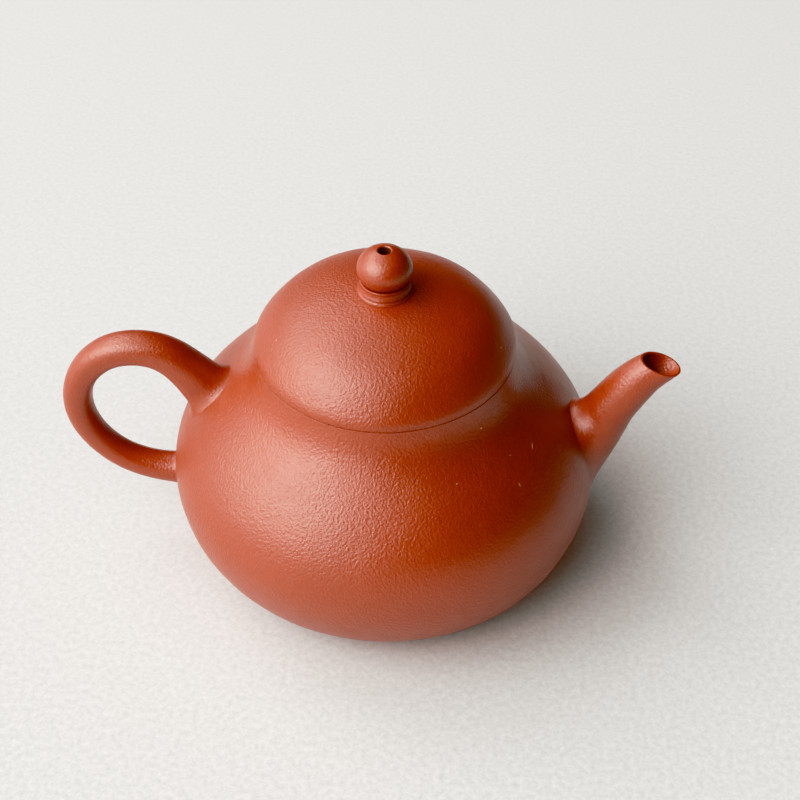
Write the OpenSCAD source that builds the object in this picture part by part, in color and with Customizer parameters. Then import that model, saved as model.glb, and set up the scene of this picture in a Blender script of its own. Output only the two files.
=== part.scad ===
// Small round teapot in unglazed clay: luted body, spout and handle, with a lift-off domed lid.
// Millimetres, Z up, spout towards +X, handle towards -X, origin at the middle of the resting plane.

/* [Body] */
// Widest diameter of the body
body_d = 82; // [76:1:96]
// Height of the mouth rim above the table
rim_h = 49.6; // [47:0.2:56]
// Thickness of the clay wall
wall_t = 2.4; // [2:0.1:2.8]
// Depth of the pressed-in middle of the base
base_dish = 0.7; // [0.4:0.1:1.2]

/* [Lid] */
// Height of the lid dome above the rim
lid_h = 12.95; // [11:0.05:15]
// Depth of the flange that drops into the mouth
flange_depth = 7.6; // [6:0.2:9]
// Running gap between the flange and the mouth
lid_gap = 0.4; // [0.3:0.1:0.8]
// Width of the knob bead
knob_d = 10.1; // [9:0.1:12]
// Diameter of the vent hole through the knob
vent_d = 2.3; // [2:0.1:3]

/* [Spout] */
// How far the mouth of the spout stands out past the body
spout_out = 12; // [10:0.5:16]
// Thickness of the spout wall at its lip
lip_t = 0.7; // [0.6:0.1:0.9]
// Diameter of each strainer hole
strain_d = 2.2; // [1.6:0.1:2.6]

/* [Handle] */
// How far the handle stands out past the body, to its centreline
handle_out = 18.4; // [17:0.2:24]
// Thickness of the handle, as a factor
handle_k = 1; // [0.85:0.05:1.15]

/* [Hidden] */
$fn = 96;

body_r = body_d / 2;
kr = body_r / 41;
kz = rim_h / 49.6;
base_z = 3.2;
base_join_r = 28 * kr;
wall_top = 32.4 * kz;
neck_z = 45.6 * kz;
seat_r = 24.35 * kr;
bore_r = 21.75 * kr;
flange_r = bore_r - lid_gap;
flange_in = flange_r - 2;
collar_r = 4.8;
collar_z = rim_h + lid_h - 0.45;
collar_top = collar_z + 2.4;
knob_r = knob_d / 2;
knob_low = knob_r * 0.733;
knob_high = knob_r * 0.842;
knob_z = collar_top + knob_low * 0.635;

// Outer line of the pot from the table to the rim, as radius and height.
OUTER = [
  [26.2, 0],
  [29.3, 1.1],
  [32.6, 3.1],
  [35.4, 5.8],
  [37.6, 8.9],
  [39.3, 12.5],
  [40.5, 16.3],
  [41, 20.4],
  [40.7, 24.2],
  [39.7, 27.7],
  [38.2, 30.8],
  [36.2, 33.7],
  [33.9, 36.4],
  [31.2, 39],
  [28.5, 41.6],
  [26.3, 44.3],
  [25, 47.1],
  [24.35, 49.6]
];

// Outer line of the lid from the seam to the knob.
LID_OUT = [
  [1, 0],
  [0.997, 0.08],
  [0.98, 0.16],
  [0.953, 0.24],
  [0.916, 0.33],
  [0.872, 0.43],
  [0.817, 0.53],
  [0.75, 0.622],
  [0.665, 0.716],
  [0.56, 0.8],
  [0.43, 0.874],
  [0.3, 0.928],
  [0.197, 0.961]
];

// Line of the lid's hollow underside.
LID_IN = [
  [0.793, 0],
  [0.775, 0.15],
  [0.725, 0.29],
  [0.63, 0.43],
  [0.5, 0.56],
  [0.33, 0.67],
  [0.15, 0.73],
  [0, 0.74]
];

// Spout stations: way out, height, half thickness in the plane, half width across it.
SPOUT = [
  [-0.62, 19, 7.7, 9],
  [-0.37, 24, 7.35, 8.6],
  [-0.2, 27.5, 6.65, 7.6],
  [-0.05, 30.4, 5.75, 6],
  [0.083, 33.1, 5.05, 5],
  [0.2, 35.8, 4.7, 4.6],
  [0.308, 38.1, 4.48, 4.4],
  [0.417, 40.2, 4.3, 4.2],
  [0.533, 42.2, 4.05, 3.95],
  [0.658, 43.95, 3.78, 3.6],
  [0.79, 45.4, 3.55, 3.3],
  [0.93, 46.95, 3.3, 3.12],
  [1.06, 48.5, 3.2, 3.1],
  [1.19, 50.1, 3.2, 3.1]
];

// Handle stations: way out, height, half thickness in the plane, half width across it.
HANDLE = [
  [-0.66, 28, 7.2, 4.9],
  [-0.55, 32.5, 6.2, 4.7],
  [-0.44, 35.7, 5.1, 4.4],
  [-0.335, 38.4, 4.3, 4.1],
  [-0.19, 41.8, 3.6, 3.8],
  [-0.03, 44.5, 3.2, 3.6],
  [0.14, 46, 2.95, 3.45],
  [0.33, 46.35, 2.85, 3.4],
  [0.52, 45.75, 2.8, 3.35],
  [0.69, 44.05, 2.8, 3.25],
  [0.84, 41.2, 2.8, 3.15],
  [0.945, 37.7, 2.8, 3.1],
  [1, 33.6, 2.8, 3.05],
  [0.99, 29.3, 2.75, 3],
  [0.915, 25, 2.7, 2.95],
  [0.79, 21.4, 2.65, 2.9],
  [0.63, 18.5, 2.62, 2.9],
  [0.45, 16.6, 2.65, 2.9],
  [0.25, 15.4, 2.75, 3],
  [0.08, 14.95, 3.1, 3.3],
  [-0.06, 14.8, 3.9, 3.9],
  [-0.3, 14.8, 5.2, 4.9]
];

// Catmull-Rom spline through a list of points.
function cr(a, b, c, d, t) =
  0.5 * (2 * b + (c - a) * t + (2 * a - 5 * b + 4 * c - d) * t * t
  + (3 * b - a - 3 * c + d) * t * t * t);
function at(P, i) = P[max(0, min(len(P) - 1, i))];
function smooth(P, n) = [
  for (i = [0 : len(P) - 2])
    for (k = [0 : n - 1])
      cr(at(P, i - 1), P[i], P[i + 1], at(P, i + 2), k / n),
  P[len(P) - 1]
];

function unit(v) = v / norm(v);
function along(P, i) = unit(at(P, i + 1) - at(P, i - 1));
function rev(P) = [for (i = [len(P) - 1 : -1 : 0]) P[i]];
function inset(P, t) = [
  for (i = [0 : len(P) - 1])
    [P[i][0] - t * along(P, i)[1], P[i][1] + t * along(P, i)[0]]
];

outer_line = smooth([for (p = OUTER) [p[0] * kr, p[1] * kz]], 4);
inner_line = [for (p = inset(outer_line, wall_t)) if (p[1] > base_z && p[1] < neck_z + 1) p];
floor_r = inner_line[0][0];
top_in = inner_line[len(inner_line) - 1];
lid_line = smooth([for (p = LID_OUT) [p[0] * seat_r, rim_h + p[1] * lid_h]], 3);
lid_under = smooth([for (p = LID_IN) [p[0] * seat_r, rim_h + p[1] * lid_h]], 3);

// Closed tube swept along a line in the XZ plane; rows are [x, z, half thickness, half width].
function ring(P, i, n, t) =
  let (d = unit([at(P, i + 1)[0] - at(P, i - 1)[0], at(P, i + 1)[1] - at(P, i - 1)[1]]))
  [
    for (k = [0 : n - 1])
      let (c = cos(k * 360 / n) * (P[i][2] - t), s = sin(k * 360 / n) * (P[i][3] - t))
      [P[i][0] - d[1] * c, s, P[i][1] + d[0] * c]
  ];
module sweep(P, n, t = 0) {
  m = len(P);
  pts = [for (i = [0 : m - 1]) for (q = ring(P, i, n, t)) q];
  sides = [
    for (i = [0 : m - 2])
      for (k = [0 : n - 1])
        for (f = [0, 1])
          f == 0
          ? [i * n + k, i * n + (k + 1) % n, (i + 1) * n + k]
          : [i * n + (k + 1) % n, (i + 1) * n + (k + 1) % n, (i + 1) * n + k]
  ];
  caps = [[for (k = [n - 1 : -1 : 0]) k], [for (k = [0 : n - 1]) (m - 1) * n + k]];
  polyhedron(points = pts, faces = concat(sides, caps), convexity = 4);
}

spout_line = smooth([for (p = SPOUT) [body_r + p[0] * spout_out, p[1] * kz, p[2], p[3]]], 2);
handle_line = smooth(
  [for (p = HANDLE) [-body_r - p[0] * handle_out, p[1] * kz, p[2] * handle_k, p[3] * handle_k]], 2
);

// Solid of revolution under the pot's outer line.
module pot_mass() {
  rotate_extrude()
    polygon(concat([[0, 0]], outer_line, [[0, rim_h]]));
}

// The pot's wall, cut into its pieces between two radii or two heights.
module shell_line() {
  polygon(concat(
    outer_line,
    [[bore_r, rim_h], [bore_r, neck_z], [top_in[0], neck_z]],
    rev(inner_line),
    [[floor_r, base_z], [0, base_z], [0, base_dish], [19.5 * kr, base_dish], [21 * kr, 0]]
  ));
}

module base_disc() {
  color("sienna")
    rotate_extrude()
      intersection() {
        shell_line();
        square([base_join_r, base_z]);
      }
}

module body_wall() {
  color("peru")
    difference() {
      rotate_extrude()
        difference() {
          intersection() {
            shell_line();
            square([body_r + 2, wall_top]);
          }
          square([base_join_r, base_z]);
        }
      strainer_holes();
    }
}

// Seven holes through the wall, inside the root of the spout.
module strainer_holes() {
  translate([0, 0, 25 * kz])
    rotate([0, 90, 0])
      cylinder(d = strain_d, h = body_r + 5);
  for (a = [0 : 60 : 300])
    translate([0, 3.4 * sin(a), 25 * kz + 3.4 * cos(a)])
      rotate([0, 90, 0])
        cylinder(d = strain_d, h = body_r + 5);
}

module shoulder_disc() {
  color("chocolate")
    rotate_extrude()
      intersection() {
        shell_line();
        translate([0, wall_top])
          square([body_r + 2, neck_z - wall_top]);
      }
}

module neck_ring() {
  color("saddlebrown")
    rotate_extrude()
      intersection() {
        shell_line();
        translate([0, neck_z])
          square([body_r + 2, rim_h - neck_z]);
      }
}

module spout() {
  color("indianred")
    difference() {
      sweep(spout_line, 28);
      sweep([
        for (i = [0 : len(spout_line) - 1])
          let (w = wall_t - (wall_t - lip_t) * i / (len(spout_line) - 1))
          let (p = spout_line[i])
          [p[0], p[1], p[2] - w, p[3] - w]
      ], 24);
      pot_mass();
      translate([body_r + 0.857 * spout_out, 0, 46.6 * kz])
        rotate([0, 17, 0])
          translate([-20, -20, 0])
            cube([40, 40, 30]);
    }
}

module handle() {
  color("brown")
    difference() {
      sweep(handle_line, 28);
      pot_mass();
    }
}

module lid_dome() {
  color("tomato")
    difference() {
      rotate_extrude()
        polygon(concat(
          lid_line,
          [[collar_r, collar_z], [0, collar_z]],
          rev(lid_under)
        ));
      cylinder(d = vent_d, h = 200);
    }
}

module lid_flange() {
  color("darkorange")
    rotate_extrude()
      polygon([
        [flange_in, rim_h],
        [flange_in + 0.2, rim_h - flange_depth + 0.4],
        [flange_in + 0.6, rim_h - flange_depth],
        [flange_r - 0.6, rim_h - flange_depth],
        [flange_r - 0.2, rim_h - flange_depth + 0.4],
        [flange_r, rim_h - 1],
        [flange_r, rim_h]
      ]);
}

module knob_collar() {
  color("gold")
    difference() {
      rotate_extrude()
        polygon([
          [0, collar_z],
          [collar_r, collar_z],
          [collar_r, collar_z + 0.35],
          [collar_r - 0.25, collar_z + 0.5],
          [collar_r - 0.05, collar_z + 0.8],
          [collar_r - 0.3, collar_z + 1.5],
          [collar_r - 0.3, collar_top - 0.15],
          [collar_r - 0.6, collar_top],
          [0, collar_top]
        ]);
      cylinder(d = vent_d, h = 200);
    }
}

module knob() {
  color("orange")
    difference() {
      rotate_extrude()
        intersection() {
          polygon(concat(
            [for (a = [-90 : 6 : 0]) [knob_r * cos(a), knob_z + knob_low * sin(a)]],
            [for (a = [6 : 6 : 90]) [knob_r * cos(a), knob_z + knob_high * sin(a)]],
            [[0, knob_z]]
          ));
          translate([0, collar_top])
            square([knob_r + 1, 20]);
        }
      cylinder(d = vent_d, h = 200);
    }
}

base_disc();
body_wall();
shoulder_disc();
neck_ring();
spout();
handle();
lid_dome();
lid_flange();
knob_collar();
knob();
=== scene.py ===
"""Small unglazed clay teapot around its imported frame: pot, spout, handle and a lift-off lid."""
import math

import bpy
import numpy as np
from mathutils import Matrix, Vector


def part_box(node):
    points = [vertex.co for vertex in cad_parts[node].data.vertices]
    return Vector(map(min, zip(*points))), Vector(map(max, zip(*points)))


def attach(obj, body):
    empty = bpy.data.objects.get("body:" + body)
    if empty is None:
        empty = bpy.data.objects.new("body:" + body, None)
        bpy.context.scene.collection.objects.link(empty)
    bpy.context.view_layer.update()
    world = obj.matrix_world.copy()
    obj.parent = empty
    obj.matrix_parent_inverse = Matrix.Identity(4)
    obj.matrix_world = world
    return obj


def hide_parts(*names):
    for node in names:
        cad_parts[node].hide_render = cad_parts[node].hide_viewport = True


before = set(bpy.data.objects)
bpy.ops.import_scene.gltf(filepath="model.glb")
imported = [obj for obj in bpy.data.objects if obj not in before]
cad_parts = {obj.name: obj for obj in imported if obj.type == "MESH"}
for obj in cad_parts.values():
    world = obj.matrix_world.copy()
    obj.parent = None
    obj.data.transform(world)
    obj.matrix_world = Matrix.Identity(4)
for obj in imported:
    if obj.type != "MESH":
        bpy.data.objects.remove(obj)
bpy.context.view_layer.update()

MM = 0.001

# ---------------------------------------------------------------- sizes taken from the frame
wall_lo, wall_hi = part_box("body_wall")
neck_lo, neck_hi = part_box("neck_ring")
flange_lo, flange_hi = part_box("lid_flange")
BODY_R = (wall_hi[0] - wall_lo[0]) / 2 / MM
RIM_Z = neck_hi[2] / MM
FLANGE_R = (flange_hi[0] - flange_lo[0]) / 2 / MM
FLANGE_Z = flange_lo[2] / MM
BASE_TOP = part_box("base_disc")[1][2] / MM
BELLY_TOP = wall_hi[2] / MM
NECK_Z = neck_lo[2] / MM
# The lines below are drawn for this widest radius and rim height, then scaled to the frame.
DRAWN_R, DRAWN_Z = 41, 49.6
KR, KZ = BODY_R / DRAWN_R, RIM_Z / DRAWN_Z
SEAT_R = 24.35 * KR            # outer radius of the rim, on which the lid sits
MOUTH_R = 21.75 * KR
BASE_JOIN_R = 28.0 * KR        # where the base disc meets the belly wall
WALL_T = 2.4
VENT_R = 1.15
# Strainer: height of its middle hole, distance of the other six from it, radius of each.
STRAIN_Z, STRAIN_RING, STRAIN_R = 25.0 * KZ, 3.4, 1.1

# Outer line of the pot (radius, height in mm) from the resting ring up to the rim.
OUTER = [
    (26.2, 0), (29.3, 1.1), (32.6, 3.1), (35.4, 5.8), (37.6, 8.9), (39.3, 12.5), (40.5, 16.3),
    (41.0, 20.4), (40.7, 24.2), (39.7, 27.7), (38.2, 30.8), (36.2, 33.7), (33.9, 36.4),
    (31.2, 39.0), (28.5, 41.6), (26.3, 44.3), (25.0, 47.1), (24.35, 49.6),
]
# Lid line: share of the seat radius, height above the rim in mm.
LID_OUT = [
    (1, 0), (0.998, 1.0), (0.982, 2.0), (0.955, 3.05), (0.918, 4.25), (0.872, 5.6),
    (0.815, 6.95), (0.748, 8.15), (0.663, 9.3), (0.556, 10.35), (0.43, 11.3), (0.3, 12.0),
    (0.16, 12.45), (0, 12.6),
]
LID_IN = [
    (0.793, 0), (0.775, 1.9), (0.725, 3.7), (0.63, 5.5), (0.5, 7.1), (0.33, 8.5), (0.15, 9.25),
    (0.06, 9.35),
]
# Spout and handle stations: x, height, half thickness in the plane, half width across it (mm).
SPOUT = [
    (29.4, 10.4, 6.9, 6.7), (32.0, 14.8, 7.1, 6.75), (34.4, 19.1, 7.1, 6.7),
    (36.8, 23.85, 6.75, 6.6), (38.75, 27.4, 6.23, 6.2), (40.45, 30.35, 5.68, 5.7),
    (41.97, 33.08, 5.03, 5.0), (43.3, 35.84, 4.62, 4.6), (44.62, 38.14, 4.43, 4.4),
    (45.92, 40.26, 4.34, 4.2), (47.33, 42.27, 4.14, 3.95), (48.83, 44.03, 3.86, 3.62),
    (50.45, 45.45, 3.58, 3.35), (52.2, 46.95, 3.33, 3.15),
    (53.7, 48.5, 3.25, 3.1), (55.3, 50.1, 3.2, 3.1),
]
HANDLE = [
    (-28.9, 28.0, 6.0, 4.4), (-30.9, 32.5, 5.4, 4.3), (-32.9, 35.7, 4.8, 4.2),
    (-34.8, 38.4, 4.25, 4.05), (-37.5, 41.8, 3.6, 3.8), (-40.4, 44.5, 3.2, 3.6),
    (-43.6, 46.0, 2.95, 3.45), (-47.1, 46.35, 2.85, 3.4), (-50.6, 45.75, 2.8, 3.35),
    (-53.7, 44.05, 2.8, 3.25), (-56.5, 41.2, 2.8, 3.15), (-58.4, 37.7, 2.8, 3.1),
    (-59.4, 33.6, 2.8, 3.05), (-59.2, 29.3, 2.75, 3.0), (-57.8, 25.0, 2.7, 2.95),
    (-55.5, 21.4, 2.65, 2.9), (-52.6, 18.5, 2.62, 2.9), (-49.3, 16.6, 2.65, 2.9),
    (-45.6, 15.4, 2.75, 3.0), (-42.5, 14.95, 2.9, 3.15), (-39.9, 14.8, 3.1, 3.3),
    (-35.5, 14.8, 3.3, 3.5),
]
TRIM_AT = (51.28, 46.6)        # a point of the plane that trims the spout, x and height
TRIM_TILT = math.radians(17)   # how far that plane drops outwards
LIP_T, LIP_EDGE = 0.45, 0.1    # wall at the spout's lip, and how far its edges are taken off
ROOT_T = 2.0                   # wall at the spout's root


# ---------------------------------------------------------------- lines and noise
def bspline(points, n):
    """Smooth curve (cubic B-spline) close to the points, n steps per span, through both ends."""
    p = np.array(points, float)
    q = np.vstack([2 * p[0] - p[1], p, 2 * p[-1] - p[-2]])
    c = p - (q[2:] - 2 * q[1:-1] + q[:-2]) / 6
    c = np.vstack([2 * c[0] - c[1], c, 2 * c[-1] - c[-2]])
    t = np.arange(n)[:, None] / n
    w = [(1 - t) ** 3, 3 * t**3 - 6 * t**2 + 4, -3 * t**3 + 3 * t**2 + 3 * t + 1, t**3]
    out = [sum(w[k] * c[i + k] for k in range(4)) / 6 for i in range(len(p) - 1)]
    return np.vstack(out + [p[-1:]])


def resample(line, step):
    """Points at even steps along a line, ends kept."""
    d = np.r_[0, np.cumsum(np.linalg.norm(np.diff(line, axis=0), axis=1))]
    u = np.linspace(0, d[-1], max(2, int(round(d[-1] / step)) + 1))
    return np.stack([np.interp(u, d, line[:, k]) for k in range(line.shape[1])], -1)


def normals2(line):
    """Outward normals of a (radius, height) line that runs upwards."""
    t = np.gradient(line, axis=0)
    t /= np.linalg.norm(t, axis=1)[:, None]
    return np.stack([t[:, 1], -t[:, 0]], -1)


def ease(x):
    """Smooth step from 0 to 1 as x goes from 0 to 1."""
    x = np.clip(x, 0, 1)
    return x * x * (3 - 2 * x)


PERM = np.random.RandomState(11).permutation(512)
GRAD = np.random.RandomState(12).normal(size=(512, 3))
GRAD /= np.linalg.norm(GRAD, axis=1)[:, None]


def noise3(p):
    """Gradient noise of an (n, 3) array, about -0.5 to 0.5."""
    i = np.floor(p).astype(int)
    f = p - i
    u = f * f * f * (f * (f * 6 - 15) + 10)
    out = np.zeros(len(p))
    for dx in (0, 1):
        for dy in (0, 1):
            for dz in (0, 1):
                h = PERM[(i[:, 0] + dx) & 511]
                h = PERM[(h + i[:, 1] + dy) & 511]
                h = PERM[(h + i[:, 2] + dz) & 511]
                w = np.abs(1 - dx - u[:, 0]) * np.abs(1 - dy - u[:, 1]) * np.abs(1 - dz - u[:, 2])
                out += w * (GRAD[h] * (f - (dx, dy, dz))).sum(1)
    return out


# Where the potter's hand left the pot out of true: place, reach and height in mm.
SWELLS = [((-24, 22, 39), 13, -0.6), ((28, -26, 8), 16, 0.4), ((10, 12, 58), 12, 0.25),
          ((-10, -33, 5), 16, -0.22)]
# Points that the unevenness pushes away from: x, y, height, and the share of the upward part.
POT_CORE, LID_CORE, BEAD_CORE = (0, 0, 20, 0.6), (0, 0, 45, 1.0), (0, 0, 67, 1.0)
RUBBED_WAY = (0.88, 0.47)      # x and y of the way towards the side that hands have smoothed


def relief(p):
    """Hand-made unevenness of the clay skin in mm at points p (mm)."""
    soft = noise3(p / 17 + 5) * 0.16 + noise3(p / 7.5 + 31) * 0.07
    for place, reach, height in SWELLS:
        soft = soft + height * np.exp(-((p - place) ** 2).sum(1) / reach**2)
    flat = p * (1, 1, 2.2)
    return soft + noise3(flat / 3.4 + 77) * 0.028


def push(p, core=POT_CORE):
    """Direction in which the unevenness moves each point: one smooth field over all joints."""
    d = (p - core[:3]) * (1, 1, core[3])
    return d / np.maximum(np.linalg.norm(d, axis=1), 1e-9)[:, None]


def rubbed(p):
    """Share of the pear skin at points p (mm), from 1.12 down to 0.57 on the smoothed side."""
    side = (p[:, :2] * RUBBED_WAY).sum(1) / BODY_R
    return 1.12 - 0.55 * ease((side + 0.55) / 1.1)


# ---------------------------------------------------------------- mesh helpers
def make(name, verts, faces, body=None, nodes=(), sharp=50, pear=1.0, painted_shade=0.0):
    """A clay piece from vertices in mm, shaded smooth apart from its sharp edges.

    pear says how strongly each vertex shows the clay's pear skin, painted_shade how far painted
    shade darkens and dulls it. With no body it is only a tool, which rides on nothing.
    """
    verts = np.asarray(verts, float)
    me = bpy.data.meshes.new(name)
    me.from_pydata((verts * MM).tolist(), [], [tuple(map(int, f)) for f in faces])
    me.validate()
    me.update()
    me.polygons.foreach_set("use_smooth", [True] * len(me.polygons))
    me.set_sharp_from_angle(angle=math.radians(sharp))
    for what, share in (("pear", pear * rubbed(verts)), ("painted_shade", painted_shade + 0 * verts[:, 0])):
        me.attributes.new(what, "FLOAT", "POINT").data.foreach_set("value", share)
    ob = bpy.data.objects.new(name, me)
    bpy.context.collection.objects.link(ob)
    if body:
        me.materials.append(CLAY)
        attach(ob, body)
        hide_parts(*nodes)
    return ob


def grid_faces(rows, cols, closed):
    """Quads of a rows x cols grid of vertices whose columns wrap round, and its rows if closed."""
    r, c = np.meshgrid(np.arange(rows if closed else rows - 1), np.arange(cols), indexing="ij")
    here, above, side = r * cols, (r + 1) % rows * cols, (c + 1) % cols
    return np.stack([here + c, here + side, above + side, above + c], -1).reshape(-1, 4)


def revolve(line, cols):
    """Vertices of a (radius, height) line turned round Z."""
    a = np.arange(cols) * 2 * math.pi / cols
    return np.stack([
        np.outer(line[:, 0], np.cos(a)),
        np.outer(line[:, 0], np.sin(a)),
        np.repeat(line[:, 1:2], cols, axis=1),
    ], -1).reshape(-1, 3)


def turned(name, line, cols, body, nodes, bump, closed=True, sharp=50, core=POT_CORE,
           pear=1.0, painted_shade=0.0):
    """A turned piece from a (radius, height) line, which is joined end to start if closed.

    bump gives how far each point of the line follows the relief, painted_shade how far painted
    shade darkens and dulls it.
    """
    v = revolve(line, cols)
    v = v + push(v, core) * (relief(v) * np.repeat(bump, cols))[:, None]
    painted_shade = np.repeat(painted_shade + 0 * line[:, 0], cols)
    return make(name, v, grid_faces(len(line), cols, closed), body, nodes, sharp, pear,
                painted_shade)


def arc(cx, cz, r, a0, a1, n):
    """Points of a circular arc in the (radius, height) plane, angles in degrees."""
    a = np.radians(np.linspace(a0, a1, n))
    return np.stack([cx + r * np.cos(a), cz + r * np.sin(a)], -1)


# ---------------------------------------------------------------- the pot's skin
skin = resample(bspline([(r * KR, z * KZ) for r, z in OUTER], 24), 0.45)
skin_n = normals2(skin)
base_join = [[BASE_JOIN_R, np.interp(BASE_JOIN_R, skin[:40, 0], skin[:40, 1])]]


def on_skin(p):
    """Nearest point of the undisturbed skin to each point p, its normal, and the distance out."""
    r = np.hypot(p[:, 0], p[:, 1])
    d = (r[:, None] - skin[None, :, 0]) ** 2 + (p[:, 2, None] - skin[None, :, 1]) ** 2
    k = d.argmin(1)
    e = p[:, :2] / np.maximum(r, 1e-9)[:, None]
    n2 = skin_n[k]
    off = (r - skin[k, 0]) * n2[:, 0] + (p[:, 2] - skin[k, 1]) * n2[:, 1]
    n3 = np.column_stack([e * n2[:, :1], n2[:, 1]])
    return p - off[:, None] * n3, n3, off


def part_of_skin(z0, z1):
    """The skin between two heights, cut exactly there."""
    inside = skin[(skin[:, 1] > z0 + 0.05) & (skin[:, 1] < z1 - 0.05)]
    ends = [[np.interp(z, skin[:, 1], skin[:, 0]), z] for z in (z0, z1)]
    return np.vstack([ends[:1], inside, ends[1:]])


def inner_of(z0, z1, step=1.0):
    """The inside of the wall between two heights."""
    raw = skin - WALL_T * skin_n
    raw = raw[raw[:, 1] > BASE_TOP - 0.5]
    z = np.linspace(z0, z1, max(2, int((z1 - z0) / step)))
    return np.stack([np.interp(z, raw[:, 1], raw[:, 0]), z], -1)


# ---------------------------------------------------------------- clay
class Shader:
    """A material with a Principled shader. Each method adds nodes and gives their output."""

    def __init__(self, name):
        self.material = bpy.data.materials.new(name)
        self.material.use_nodes = True
        self.tree = self.material.node_tree
        self.bsdf = self.tree.nodes["Principled BSDF"]
        self.coord = self.node("ShaderNodeTexCoord").outputs["Object"]

    def node(self, kind, **settings):
        """A new node with its settings."""
        t = self.tree.nodes.new(kind)
        for what, x in settings.items():
            setattr(t, what, x)
        return t

    def feed(self, inputs, **values):
        """Sets inputs by name (_ for a space), with a link where the value is an output."""
        for what, x in values.items():
            self.plug(inputs[what.replace("_", " ")], x)

    def plug(self, socket, x):
        """The same for one input."""
        if isinstance(x, bpy.types.NodeSocket):
            self.tree.links.new(x, socket)
        else:
            socket.default_value = x

    def noise(self, scale, detail, rough=0.5, vector=None):
        """Soft noise from 0 to 1, with scale features to a metre."""
        t = self.node("ShaderNodeTexNoise")
        self.feed(t.inputs, Scale=scale, Detail=detail, Roughness=rough,
                  Vector=self.coord if vector is None else vector)
        return t.outputs["Fac"]

    def remap(self, value, from_low, from_high, to_low, to_high, smooth=False):
        """The value moved from one range to another, and held within it."""
        t = self.node("ShaderNodeMapRange",
                      interpolation_type="SMOOTHSTEP" if smooth else "LINEAR")
        for socket, x in zip(t.inputs, (value, from_low, from_high, to_low, to_high)):
            self.plug(socket, x)
        return t.outputs[0]

    def mix(self, share, a, b, blend="MIX"):
        """Colour a with this share of colour b."""
        t = self.node("ShaderNodeMix", data_type="RGBA", blend_type=blend)
        for i, x in ((0, share), (6, a), (7, b)):
            self.plug(t.inputs[i], (*x, 1) if isinstance(x, tuple) else x)
        return t.outputs[2]

    def math(self, operation, *values):
        """One step of arithmetic."""
        t = self.node("ShaderNodeMath", operation=operation)
        for socket, x in zip(t.inputs, values):
            self.plug(socket, x)
        return t.outputs[0]

    def vertex_share(self, what):
        """A number that each mesh carries at its vertices."""
        return self.node("ShaderNodeAttribute", attribute_name=what).outputs["Fac"]

    def bump(self, height, distance, strength=1.0):
        """Gives the shader a fine relief. distance is in mm."""
        t = self.node("ShaderNodeBump")
        self.feed(t.inputs, Strength=strength, Distance=distance * MM, Height=height)
        self.feed(self.bsdf.inputs, Normal=t.outputs["Normal"])


def clay():
    """Unglazed red clay: satin, with a pear-skin relief, mottling, pale grains of sand, and
    painted shade that darkens the bores.
    """
    sh = Shader("red_clay")

    # colour: slow kiln variation, fine mottling
    slow = sh.remap(sh.noise(KILN_SCALE, 2), 0.35, 0.65, 0, 1, True)
    fine = sh.remap(sh.noise(MOTTLE_SCALE, 3, 0.6), 0.3, 0.7, 0, 1)
    base = sh.mix(slow, CLAY_DEEP, CLAY_WARM)
    base = sh.mix(sh.math("MULTIPLY", fine, 0.35), base, CLAY_LIGHT)

    # one cell in about 25 holds a pale grain of sand at its middle
    cells = sh.node("ShaderNodeTexVoronoi")
    sh.feed(cells.inputs, Scale=GRAIN_SCALE, Vector=sh.coord)
    dot = sh.remap(cells.outputs["Distance"], 0.03, 0.075, 1, 0, True)
    pick = sh.node("ShaderNodeSeparateColor")
    sh.feed(pick.inputs, Color=cells.outputs["Color"])
    picked = sh.remap(pick.outputs[0], 0.955, 0.965, 0, 1)
    base = sh.mix(sh.math("MULTIPLY", dot, picked), base, CLAY_SAND)

    # rubbed marks: a long thin spot of pale dust each
    for place, way, length, width in MARKS:
        out_way = Vector(place) - Vector((0, 0, 25))
        long_way = Vector(way)
        across = long_way.cross(out_way).normalized()
        axes = Matrix((across, long_way.normalized(), across.cross(long_way).normalized()))
        about = sh.node("ShaderNodeMapping", vector_type="TEXTURE")
        sh.feed(about.inputs, Vector=sh.coord, Location=[x * MM for x in place],
                Rotation=axes.transposed().to_euler(),
                Scale=(width * MM, length * MM, 3 * MM))
        spot = sh.node("ShaderNodeTexGradient", gradient_type="SPHERICAL")
        sh.feed(spot.inputs, Vector=about.outputs[0])
        base = sh.mix(sh.remap(spot.outputs["Fac"], 0.0, 0.5, 0, 0.75, True), base, CLAY_SAND)

    # satin finish, a little drier in patches. Painted shade makes the bores darker and duller
    painted_shade = sh.vertex_share("painted_shade")
    patches = sh.remap(sh.noise(DRY_SCALE, 3, 0.6), 0.3, 0.7, *ROUGH)
    sh.feed(sh.bsdf.inputs, Base_Color=sh.mix(painted_shade, base, CLAY_PAINTED_SHADE),
            Roughness=sh.math("ADD", patches, sh.remap(painted_shade, 0, 1, 0, 0.5)),
            IOR=1.6, Specular_IOR_Level=0.72, Specular_Tint=(1.0, 0.97, 0.94, 1))

    # pear-skin relief: soft pits and pimples about half a millimetre apart, drawn out upwards
    stretch = sh.node("ShaderNodeMapping")
    sh.feed(stretch.inputs, Scale=(1, 1, 0.8), Vector=sh.coord)
    pear = sh.noise(PEAR_SCALE, 2.5, 0.55, stretch.outputs[0])
    sh.bump(sh.math("MULTIPLY", pear, sh.vertex_share("pear")), PEAR_DEPTH)
    return sh.material


CLAY_DEEP = (0.285, 0.044, 0.014)
CLAY_WARM = (0.315, 0.050, 0.017)
CLAY_LIGHT = (0.35, 0.062, 0.024)
CLAY_SAND = (0.72, 0.42, 0.22)
# painted shade: near-black colour standing in for the shade deep in the spout's bore and the vent
CLAY_PAINTED_SHADE = (0.025, 0.0035, 0.001)
ROUGH = (0.31, 0.39)
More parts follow.
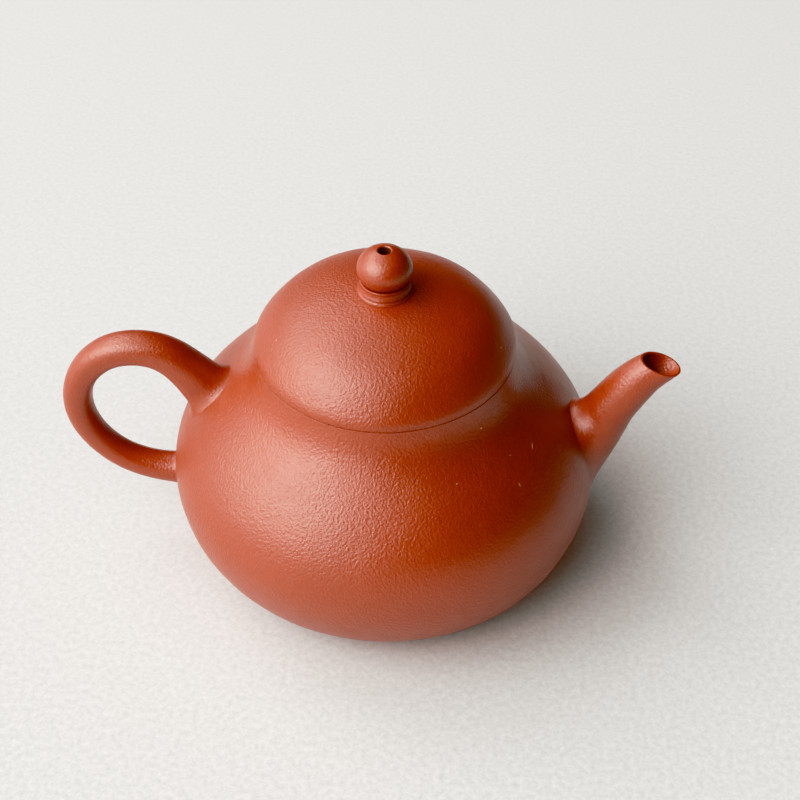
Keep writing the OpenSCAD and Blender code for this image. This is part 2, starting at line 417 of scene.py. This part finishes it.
# How many features of each pattern there are to a metre.
KILN_SCALE, DRY_SCALE, GRAIN_SCALE, MOTTLE_SCALE, PEAR_SCALE = 42, 260, 420, 900, 2200
PEAR_DEPTH = 0.17       # depth of the relief in mm where its share is 1
PEAR_SMOOTH = 0.65      # its share on the handle and the knob, which are handled most
# Pale marks on the front of the shoulder: place, direction, half length and half width in mm.
MARKS = [
    ((27.8, -14.9, 38.7), (0.0, -1.4, -0.66), 0.85, 0.13),
    ((25.6, -22.5, 36.2), (0.5, -0.5, -0.76), 0.55, 0.12),
    ((18.2, -18.1, 45.7), (1, 0, 0), 0.17, 0.17),
    ((23.7, -18.8, 39.9), (1, 0, 0), 0.15, 0.15),
    ((14.2, -26.6, 40.0), (1, 0, 0), 0.16, 0.16),
]
CLAY = clay()


# ---------------------------------------------------------------- the pot
# In every piece, w says how far each point of its line follows the relief.
COLS, LID_COLS, FLANGE_COLS, KNOB_COLS = 420, 360, 240, 160     # vertices round each piece


def ones(line, v=1.0):
    """The number v for each point of a line."""
    return np.full(len(line), float(v))


def base_disc():
    """The bottom slab: a shallow dish inside the ring on which the pot rests."""
    dish = [(0.0, 0.72), (8, 0.7), (15, 0.66), (18.6, 0.5), (20.2, 0.22), (21.2, 0.04), (22.5, 0)]
    dish = resample(np.array(dish) * (KR, 1), 0.8)
    ring = skin[(skin[:, 0] < BASE_JOIN_R - 0.05) & (skin[:, 1] < 3)]
    top = np.array([(BASE_JOIN_R, BASE_TOP), (20.0, BASE_TOP), (10.0, BASE_TOP), (0.0, BASE_TOP)])
    line = np.vstack([dish, ring, base_join, top])
    # the relief fades out towards the resting ring, so that the pot stands flat
    w = np.r_[ones(dish, 0), np.clip((ring[:, 0] - 26.6) / 1.2, 0, 1), 1.0, ones(top, 0)]
    turned("base_disc_form", line, COLS, "pot", ["base_disc"], w, closed=False)


def strainer_cutters():
    """Seven rods that pierce the belly wall behind the spout."""
    places = [(0.0, STRAIN_Z)]
    for k in range(6):
        a = math.radians(60 * k)
        places.append((STRAIN_RING * math.sin(a), STRAIN_Z + STRAIN_RING * math.cos(a)))
    verts, faces, n = [], [], 20
    for y, z in places:
        s = len(verts)
        for x in (30.0, BODY_R + 4):
            for k in range(n):
                a = 2 * math.pi * k / n
                verts.append((x, y + STRAIN_R * math.cos(a), z + STRAIN_R * math.sin(a)))
        faces += [[s + k, s + (k + 1) % n, s + n + (k + 1) % n, s + n + k] for k in range(n)]
        faces += [[s + k for k in range(n)][::-1], [s + n + k for k in range(n)]]
    return make("cutter", verts, faces)


def pierce(piece, cutter):
    """Cuts the rods out of the piece and drops them."""
    mod = piece.modifiers.new("holes", "BOOLEAN")
    mod.operation, mod.object, mod.solver = "DIFFERENCE", cutter, "EXACT"
    view = bpy.context.evaluated_depsgraph_get()
    me = bpy.data.meshes.new_from_object(piece.evaluated_get(view))
    piece.modifiers.remove(mod)
    old = piece.data
    piece.data = me
    me.name = old.name + "_cut"
    bpy.data.meshes.remove(old)
    bpy.data.objects.remove(cutter)
    me.set_sharp_from_angle(angle=math.radians(50))


def belly():
    """The wall from the base up to its widest part and in again, with its strainer holes."""
    low = skin[skin[:, 1] < BELLY_TOP - 0.05]
    low = low[low[:, 0] > BASE_JOIN_R + 0.05]
    top = [[np.interp(BELLY_TOP, skin[:, 1], skin[:, 0]), BELLY_TOP]]
    out = np.vstack([base_join, low, top])
    inside = inner_of(BASE_TOP, BELLY_TOP)[::-1]
    line = np.vstack([out, inside, [[BASE_JOIN_R, BASE_TOP]]])
    w = np.r_[ones(out), ones(inside, 0.8), 0]
    w[len(out)] = w[len(out) + len(inside) - 1] = 0
    ob = turned("belly_form", line, COLS, "pot", ["body_wall"], w)
    pierce(ob, strainer_cutters())


def shoulder():
    """The upper disc that closes the belly, up to the neck."""
    out = part_of_skin(BELLY_TOP, NECK_Z)
    inside = inner_of(BELLY_TOP, NECK_Z)[::-1]
    w = np.r_[ones(out), ones(inside, 0.8)]
    w[len(out)] = w[-1] = 0
    turned("shoulder_form", np.vstack([out, inside]), COLS, "pot",
           ["shoulder_disc"], w)


def neck():
    """The thicker ring of the mouth. Its rim is the lid's seat, rounded by e outside, b inside."""
    e, b = 0.1, 0.4
    out = part_of_skin(NECK_Z, RIM_Z - e)
    rim = np.vstack([
        arc(out[-1, 0] - e, RIM_Z - e, e, 12, 90, 5),
        [[(SEAT_R + MOUTH_R) / 2, RIM_Z]],
        arc(MOUTH_R + b, RIM_Z - b, b, 90, 180, 6),
        arc(MOUTH_R + b, NECK_Z + b, b, 180, 262, 5),
        [[inner_of(NECK_Z, NECK_Z + 1)[0, 0], NECK_Z]],
    ])
    w = np.r_[ones(out), ones(rim, 0)]
    w[len(out):len(out) + 5] = np.linspace(1, 0, 5)
    turned("neck_ring_form", np.vstack([out, rim]), COLS, "pot", ["neck_ring"], w)


# ---------------------------------------------------------------- spout and handle
def stations(rows, step=0.15):
    """Dense stations of a swept piece: centre, tangent, half sizes, and the arc length."""
    line = resample(bspline([(x, z * KZ, a, b) for x, z, a, b in rows], 16), step)
    t = np.gradient(line[:, :2], axis=0)
    t /= np.linalg.norm(t, axis=1)[:, None]
    s = np.r_[0, np.cumsum(np.linalg.norm(np.diff(line[:, :2], axis=0), axis=1))]
    return line, t, s


def tube_point(st, s, th, thin=0.0, power=(2.0, 2.0)):
    """Point of the swept surface at arc length s and angle th (arrays of one shape).

    thin is how far under the surface it lies. power shapes the section, from 2 for an ellipse
    to squarer: the first number on the inner side near the start, the second elsewhere.
    """
    line, t, arc_s = st
    val = [np.interp(s, arc_s, c) for c in (line[:, 0], line[:, 1], line[:, 2], line[:, 3])]
    tx, tz = np.interp(s, arc_s, t[:, 0]), np.interp(s, arc_s, t[:, 1])
    c, n = np.cos(th), np.sin(th)
    inner = np.interp(s / arc_s[-1], (0, 0.45, 0.62, 1), (power[0], power[0], power[1], power[1]))
    pw = np.where(c > 0, inner, power[1])
    rad = (np.abs(c) ** pw + np.abs(n) ** pw) ** (-1 / pw)
    a, b = (val[2] - thin) * c * rad, (val[3] - thin) * n * rad
    return np.stack([val[0] - tz * a, b, val[1] + tx * a], -1)


def crossing(st, th, level, thin=0.0, power=(2.0, 2.0), end=False, plane=None):
    """Arc length at which each line along the tube comes out of the pot's skin.

    With end, it is where the line goes back in, and with a plane, where it meets that.
    """
    s = st[2]
    grid_s = np.repeat(s[:, None], len(th), 1)
    p = tube_point(st, grid_s, np.repeat(th[None], len(s), 0), thin, power)
    if plane is None:
        d = on_skin(p.reshape(-1, 3))[2].reshape(len(s), len(th)) - level
    else:
        d = plane(p)
    out = np.zeros(len(th))
    for k in range(len(th)):
        up = np.nonzero((d[:-1, k] < 0) & (d[1:, k] >= 0))[0]
        down = np.nonzero((d[:-1, k] >= 0) & (d[1:, k] < 0))[0]
        i = down[-1] if end else (up[0] if plane is None else up[-1])
        f = d[i, k] / (d[i, k] - d[i + 1, k])
        out[k] = s[i] + f * (s[i + 1] - s[i])
    return out


def root_rows(st, th, s0, sign, reach, climb, lift, rows, power=(2.0, 2.0)):
    """Rows of a flare from the pot's skin up on to the tube, starting under the skin.

    sign is 1 where the tube leaves the pot and -1 where it goes back in. The flare starts
    reach out on the skin, meets the tube climb along it, and bends at lift. Returned with it
    are two sunk rows before it and a point under the skin at its middle.
    """
    p1 = tube_point(st, s0, th, 0, power)
    knee = tube_point(st, s0 + sign * lift, th, 0, power)
    p0 = tube_point(st, s0 + sign * climb, th, 0, power)
    base, n, _ = on_skin(p1)
    t = np.roll(base, -1, 0) - np.roll(base, 1, 0)
    v = np.cross(n, t)
    v /= np.linalg.norm(v, axis=1)[:, None]
    mid = base.mean(0)
    if ((base - mid) * v).sum() < 0:
        v = -v
    p2, n2, _ = on_skin(base + v * np.reshape(reach, (-1, 1)))
    p2 = p2 - n2 * 0.06
    out = []
    for k in range(rows):
        u = k / rows
        out.append((1 - u) ** 2 * p2 + 2 * u * (1 - u) * knee + u * u * p0)
    low, nl, _ = on_skin(p2 * 0.35 + mid * 0.65)
    sunk = [low - nl * 1.1, p2 - v * 0.4 - n2 * 0.45]
    return sunk, out, mid - on_skin(mid[None])[1][0] * 1.2


def swept_relief(v, rows, cols, weight, rooted):
    """Adds the clay's unevenness to a swept grid: with the pot's at its roots, else its own."""
    g = v.reshape(rows, cols, 3)
    du = np.gradient(g, axis=0)
    dv = (np.roll(g, -1, 1) - np.roll(g, 1, 1)) / 2
    n = np.cross(dv, du)
    n /= np.maximum(np.linalg.norm(n, axis=2), 1e-9)[..., None]
    centre = g.mean(1, keepdims=True)
    if ((g - centre) * n).sum() < 0:
        n = -n
    way = n * ((1 - rooted) * weight)[:, None, None]
    way = way + push(v).reshape(g.shape) * rooted[:, None, None]
    return (g + way * relief(v).reshape(rows, cols, 1)).reshape(-1, 3)


def spout():
    """The hollow spout: a flare at its root, the tube, a lip cut flat, and the bore back down."""
    st = stations(SPOUT)
    cols, tube_rows, fillet, bore_rows, lip_rows = 128, 90, 14, 70, 6
    th = np.arange(cols) * 2 * math.pi / cols
    drop = np.array([math.sin(TRIM_TILT), 0, math.cos(TRIM_TILT)])
    at = np.array([TRIM_AT[0], 0, TRIM_AT[1] * KZ])

    def plane(p):
        return ((p - at) * drop).sum(-1)

    s0 = crossing(st, th, 0.0)
    s1 = crossing(st, th, 0.0, plane=plane)
    under = ease((0.1 - np.cos(th)) / 0.75)   # 0 on top of the root, 1 where it runs out smoothly
    above = np.clip(np.cos(th), 0, 1)
    climb = 4.0 + 2.5 * under
    sunk, root, _ = root_rows(st, th, s0, 1, 1.9 - 0.8 * above + 1.6 * under, climb,
                              1.1 - 0.8 * under, fillet)
    u = np.linspace(0, 1, tube_rows)[:, None]
    start = s0 + climb
    outer = tube_point(st, start + (s1 - start) * u, np.repeat(th[None], tube_rows, 0))
    # bore: the wall thins from the root to the lip
    b0 = crossing(st, th, -0.3, thin=ROOT_T)
    ub = np.linspace(1, 0, bore_rows)[:, None]
    s1b = crossing(st, th, 0.0, thin=LIP_T, plane=plane)
    sb = b0 + (s1b - b0) * ub
    thin = LIP_T + (ROOT_T - LIP_T) * (1 - ub) ** 0.8 + 0 * sb
    bore = tube_point(st, sb, np.repeat(th[None], bore_rows, 0), thin)
    # lip: cut flat, its two edges just taken off with a wet finger
    o, i = outer[-1], bore[0]
    share = LIP_EDGE / np.linalg.norm(i - o, axis=1)[:, None]
    lip = []
    for side, a, b in ((1, o, i), (-1, i, o)):
        for w in np.radians((25, 55, 90))[::side]:
            lip.append(a + (b - a) * share * (1 - np.cos(w)) + drop * LIP_EDGE * np.sin(w))
    grid = np.array(sunk[1:] + root + list(outer) + lip + list(bore))
    # per row: how far it follows the relief, how far with the pot's, its pear skin and its painted
    # shade
    weight = np.r_[0.0, np.ones(fillet), np.linspace(1, 0.5, tube_rows), np.full(lip_rows, 0.5),
                   np.full(bore_rows, 0.3)]
    fade = np.clip(1 - np.arange(tube_rows) / 14, 0, 1)
    plain = np.zeros(lip_rows + bore_rows)
    rooted = np.r_[0.0, np.ones(fillet), fade, plain]
    pear = 1.3 - 0.3 * np.r_[1.0, np.linspace(1, 0.4, fillet), fade * 0.4, plain]
    # painted shade: the bore darkens from a few rows inside the lip downwards
    painted_shade = np.r_[np.zeros(len(grid) - bore_rows), np.clip((np.arange(bore_rows) - 7) / 14, 0, 1)]
    v = swept_relief(grid.reshape(-1, 3), len(grid), cols, weight, rooted)
    make("spout_form", v, grid_faces(len(grid), cols, True), "pot", ["spout"],
         pear=np.repeat(pear, cols), painted_shade=np.repeat(painted_shade, cols))


def handle():
    """The solid bent roll, with a flare at each root. It is squarer on its inner side."""
    st = stations(HANDLE)
    cols, tube_rows, fillet = 96, 230, 12
    power = (3.1, 2.2)
    climb0, climb1 = 3.0, 1.8
    th = np.arange(cols) * 2 * math.pi / cols
    s0 = crossing(st, th, 0.0, power=power)
    s1 = crossing(st, th, 0.0, power=power, end=True)
    inner = np.clip(np.cos(th), 0, 1)
    sunk0, root0, mid0 = root_rows(st, th, s0, 1, 1.2 + 1.0 * inner, climb0,
                                   0.9 - 0.65 * inner, fillet, power)
    sunk1, root1, mid1 = root_rows(st, th, s1, -1, 0.9, climb1, 0.7, fillet, power)
    u = np.linspace(0, 1, tube_rows)[:, None]
    a, b = s0 + climb0, s1 - climb1
    tube = tube_point(st, a + (b - a) * u, np.repeat(th[None], tube_rows, 0), 0, power)
    grid = np.array(sunk0 + root0 + list(tube) + root1[::-1] + sunk1[::-1])
    weight = np.r_[0, 0, np.ones(fillet), np.full(tube_rows, 0.7), np.ones(fillet), 0, 0]
    away = np.arange(tube_rows)
    fade = np.clip(1 - np.minimum(away, away[::-1]) / 9, 0, 1)
    rooted = np.r_[0, 0, np.ones(fillet), fade, np.ones(fillet), 0, 0]
    v = swept_relief(grid.reshape(-1, 3), len(grid), cols, weight, rooted)
    f = grid_faces(len(grid), cols, False).tolist()
    n = len(v)
    v = np.vstack([v, mid0, mid1])
    last = (len(grid) - 1) * cols
    f += [(k, n, (k + 1) % cols) for k in range(cols)]
    f += [(last + k, last + (k + 1) % cols, n + 1) for k in range(cols)]
    make("handle_form", v, f, "pot", ["handle"], pear=PEAR_SMOOTH)


# ---------------------------------------------------------------- the lid
def lid():
    """The domed lid down to its seat, where the edge is rounded by e, with the vent through it."""
    dome = resample(bspline([(r * SEAT_R, RIM_Z + z) for r, z in LID_OUT], 24), 0.45)
    dome = dome[dome[:, 0] > VENT_R + 0.3]
    e = 0.16
    dome = dome[dome[:, 1] > RIM_Z + e]
    under = resample(bspline([(r * SEAT_R, RIM_Z + z) for r, z in LID_IN], 16), 0.9)[::-1]
    foot = np.vstack([
        [[FLANGE_R, RIM_Z]],
        arc(dome[0, 0] - e, RIM_Z + e, e, -90, -8, 5),
    ])
    line = np.vstack([foot, dome, [[VENT_R, dome[-1, 1] - 0.1]], under])
    w = np.r_[0, np.linspace(0, 1, 5), ones(dome), 0, ones(under, 0.5)]
    w[len(foot) + len(dome) - 1] = 0
    w[-1] = 0
    turned("lid_dome_form", line, LID_COLS, "lid", ["lid_dome"], w,
           core=LID_CORE)


def flange():
    """The ring under the lid, 2 mm thick, its lower edges rounded by e inside and t outside."""
    i, e, t = FLANGE_R - 2, 0.6, 0.4
    line = np.vstack([
        [(i, RIM_Z), (i + 0.1, FLANGE_Z + 2.5)],
        arc(i + 0.2 + e, FLANGE_Z + e, e, 180, 270, 6),
        arc(FLANGE_R - t, FLANGE_Z + t, t, 270, 360, 5),
        [(FLANGE_R, RIM_Z - 3), (FLANGE_R, RIM_Z)],
    ])
    turned("lid_flange_form", line, FLANGE_COLS, "lid", ["lid_flange"],
           ones(line, 0.2))


def knob_pieces():
    """The collar and the bead, turned round the vent hole, with sizes from the frame."""
    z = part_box("knob_collar")[0][2] / MM
    k_lo, k_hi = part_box("knob")
    r = (k_hi[0] - k_lo[0]) / 2 / MM
    top = k_hi[2] / MM
    low, high = r * 0.733, r * 0.842
    zc = top - high * 0.965
    foot = zc - low * 0.711
    # foot ring run into the lid, a cut groove, a waisted skirt, and a lip under the bead
    collar = np.array([
        (VENT_R, z - 0.5), (3.2, z - 0.5), (4.7, z - 0.42), (5.05, z - 0.2), (5.02, z + 0.15),
        (4.9, z + 0.4), (4.72, z + 0.5), (4.62, z + 0.56), (4.7, z + 0.66), (4.77, z + 0.8),
        (4.76, z + 0.92), (4.62, z + 1.2), (4.5, z + 1.6), (4.47, z + 2.0), (4.52, z + 2.2),
        (4.5, z + 2.34), (4.38, z + 2.42), (4.1, z + 2.42), (3.75, z + 2.36), (3.58, z + 2.42),
        (r * 0.703, foot), (VENT_R, foot),
    ])
    fine = np.vstack([collar[:2], bspline(collar[2:-2], 5), collar[-2:]])
    # painted shade darkens the wall of the vent hole through the collar
    turned("knob_collar_form", fine, KNOB_COLS, "lid", ["knob_collar"],
           ones(fine, 0.4), sharp=70, core=LID_CORE, pear=PEAR_SMOOTH,
           painted_shade=np.where(fine[:, 0] <= VENT_R, 1.0, 0.0))
    t = np.radians(np.linspace(-45.3, 72, 64))
    bead = np.stack([r * np.cos(t), zc + np.where(t < 0, low, high) * np.sin(t)], -1)
    edge = bead[-1]
    lip = [(VENT_R + 0.27, edge[1] + 0.05), (VENT_R + 0.13, edge[1] + 0.02),
           (VENT_R + 0.04, edge[1] - 0.08), (VENT_R, edge[1] - 0.25)]
    line = np.vstack([bead, lip, [[VENT_R, foot]]])
    # painted shade darkens the bead's part of the vent wall
    turned("knob_form", line, KNOB_COLS, "lid", ["knob"],
           ones(line, 0.5), sharp=70, core=BEAD_CORE, pear=PEAR_SMOOTH,
           painted_shade=np.where(line[:, 0] <= VENT_R, 0.8, 0.0))


for part in (base_disc, belly, shoulder, neck, spout, handle, lid, flange, knob_pieces):
    part()


# ---------------------------------------------------------------- floor
def paper():
    """Pale matt paper, whose tooth shows most in front and fades towards the back."""
    sh = Shader("paper_floor")
    fibre = sh.noise(850, 3, 0.75)
    split = sh.node("ShaderNodeSeparateXYZ")
    sh.feed(split.inputs, Vector=sh.coord)
    near = sh.remap(split.outputs["Y"], -0.12, 0.22, 0.72, 0.2)
    tooth = sh.math("MULTIPLY_ADD", sh.math("SUBTRACT", fibre, 0.5), near, 1.0)
    sh.feed(sh.bsdf.inputs, Base_Color=sh.mix(1, (0.628, 0.617, 0.602), tooth, "MULTIPLY"),
            Roughness=0.9, Specular_IOR_Level=0.2)
    sh.bump(fibre, 0.12, 0.35)
    return sh.material


FLOOR = 12.0            # half the floor's width in metres
me = bpy.data.meshes.new("floor")
me.from_pydata([(x * FLOOR, y * FLOOR, 0) for x, y in ((-1, -1), (1, -1), (1, 1), (-1, 1))], [],
               [(0, 1, 2, 3)])
me.materials.append(paper())
floor = bpy.data.objects.new("floor", me)
bpy.context.collection.objects.link(floor)


# ---------------------------------------------------------------- camera
YAW_OF_POT = math.radians(3)      # the spout is turned this much towards the camera
PITCH, PAN, ROLL = math.radians(42.71), math.radians(0.75), math.radians(0.5)
CAM_BACK, CAM_UP = 0.2254, 0.2431         # metres from the middle of the pot's foot
LENS, SENSOR = 72, 36                     # mm


def turn(v):
    """A direction or place in the camera's frame, turned into the pot's."""
    return Matrix.Rotation(YAW_OF_POT, 3, "Z") @ Vector(v)


def camera():
    """The camera: above the front, looking down at the pot, and rolled a little."""
    fwd = Vector((math.sin(PAN) * math.cos(PITCH), math.cos(PAN) * math.cos(PITCH),
                  -math.sin(PITCH)))
    level = Vector((math.cos(PAN), -math.sin(PAN), 0))
    steep = level.cross(fwd)
    right = level * math.cos(ROLL) + steep * math.sin(ROLL)
    up = steep * math.cos(ROLL) - level * math.sin(ROLL)
    m = Matrix([turn(right), turn(up), turn(-fwd)]).transposed().to_4x4()
    m.translation = turn((0, -CAM_BACK, CAM_UP))
    data = bpy.data.cameras.new("camera")
    data.lens, data.sensor_width = LENS, SENSOR
    data.clip_start, data.clip_end = 0.01, 50
    ob = bpy.data.objects.new("camera", data)
    ob.matrix_world = m
    bpy.context.collection.objects.link(ob)
    bpy.context.scene.camera = ob


camera()


# ---------------------------------------------------------------- light
WARM_WHITE = (1.0, 0.995, 0.985)
LIT_POINT = Vector((0, 0, 0.03))          # what the lights are aimed at
BACKDROP = 0.6


def way_to(az, el):
    """Direction of a light, in degrees: az from the camera's side, + towards the spout."""
    a, e = math.radians(az), math.radians(el)
    return turn((math.sin(a) * math.cos(e), -math.cos(a) * math.cos(e), math.sin(e)))


def area(name, az, el, dist, width, height, radiance, colour=WARM_WHITE, gloss=True):
    """Soft area light at a distance in metres. With gloss False it makes no highlight."""
    way = way_to(az, el)
    data = bpy.data.lights.new(name, "AREA")
    data.shape = "RECTANGLE"
    data.size, data.size_y = width, height
    data.energy = radiance * math.pi * width * height
    data.color = colour
    ob = bpy.data.objects.new(name, data)
    ob.location = LIT_POINT + way * dist
    ob.visible_glossy = gloss
    ob.visible_camera = False
    ob.rotation_euler = (-way).to_track_quat("-Z", "Y").to_euler()
    bpy.context.collection.objects.link(ob)


area("window", -60, 39, 2.0, 1.5, 1.8, 2.19)
area("left_window", -82, 38, 2.0, 1.0, 1.5, 2.15)
area("front_window", -38, 38, 2.0, 1.0, 1.5, 1.81)
area("back_window", -132, 46, 2.2, 1.1, 1.1, 2.93)
area("low_glow", -90, 12, 2.2, 2.0, 0.8, 0.51)
area("front_glow", -42, 13, 2.2, 1.8, 0.7, 1.0)
area("fill", 25, 50, 2.2, 1.2, 1.2, 0.65, (1.0, 0.8, 0.6), gloss=False)


def room(az, el, inner, outer, bright):
    """World light: one broad soft patch of brightness, which fades out between two angles."""
    world = bpy.data.worlds.new("room")
    bpy.context.scene.world = world
    world.use_nodes = True
    n, l = world.node_tree.nodes, world.node_tree.links
    coord = n.new("ShaderNodeTexCoord")
    dot = n.new("ShaderNodeVectorMath")
    dot.operation = "DOT_PRODUCT"
    dot.inputs[1].default_value = way_to(az, el)
    l.new(coord.outputs["Generated"], dot.inputs[0])
    patch = n.new("ShaderNodeMapRange")
    patch.interpolation_type = "SMOOTHSTEP"
    ends = (math.cos(math.radians(outer)), math.cos(math.radians(inner)), 0.0, bright)
    for i, x in enumerate(ends):
        patch.inputs[i + 1].default_value = x
    l.new(dot.outputs["Value"], patch.inputs[0])
    # seen directly, from the side, the room is an even pale grey backdrop
    path = n.new("ShaderNodeLightPath")
    seen = n.new("ShaderNodeMix")
    seen.inputs["B"].default_value = BACKDROP
    l.new(path.outputs["Is Camera Ray"], seen.inputs["Factor"])
    l.new(patch.outputs[0], seen.inputs["A"])
    l.new(seen.outputs["Result"], n["Background"].inputs["Strength"])
    n["Background"].inputs["Color"].default_value = (*WARM_WHITE, 1)


room(-85, 40, 20, 78, 1.06)


# ---------------------------------------------------------------- grade
RED, GREEN, BLUE, ALL = 0, 1, 2, 3        # the view curves' channels
# Points of each curve, linear light in and out. The last one of ALL ends at WHITE_END.
TONES = {
    ALL: ((0.2, 0.2), (0.3, 0.315), (0.4, 0.42), (0.5, 0.515), (0.6, 0.597), (0.7, 0.668),
          (0.8, 0.73), (0.9, 0.785)),
    RED: ((0.14, 0.131), (0.175, 0.172), (0.24, 0.25), (0.3, 0.311), (0.4, 0.405), (0.5, 0.496),
          (0.65, 0.638), (0.8, 0.79)),
    GREEN: ((0.015, 0.002), (0.032, 0.012), (0.052, 0.031), (0.065, 0.047), (0.078, 0.065),
            (0.108, 0.103), (0.13, 0.13)),
    BLUE: ((0.03, 0.001), (0.04, 0.007), (0.053, 0.028), (0.074, 0.057), (0.11, 0.102),
           (0.177, 0.176), (0.22, 0.22)),
}
WHITE_END = (1.0, 0.83)


def grade():
    """Camera-like picture: some contrast, and darks that turn warm because blue drops first."""
    view = bpy.context.scene.view_settings
    view.view_transform = "Standard"
    view.look = "Medium High Contrast"
    view.use_curve_mapping = True
    mapping = view.curve_mapping
    mapping.use_clip = False
    mapping.extend = "EXTRAPOLATED"
    for channel, points in TONES.items():
        curve = mapping.curves[channel]
        for x, y in points:
            curve.points.new(x, y)
        if channel == ALL:
            curve.points[-1].location = WHITE_END
        for p in curve.points:
            p.handle_type = "VECTOR"
    mapping.update()


grade()
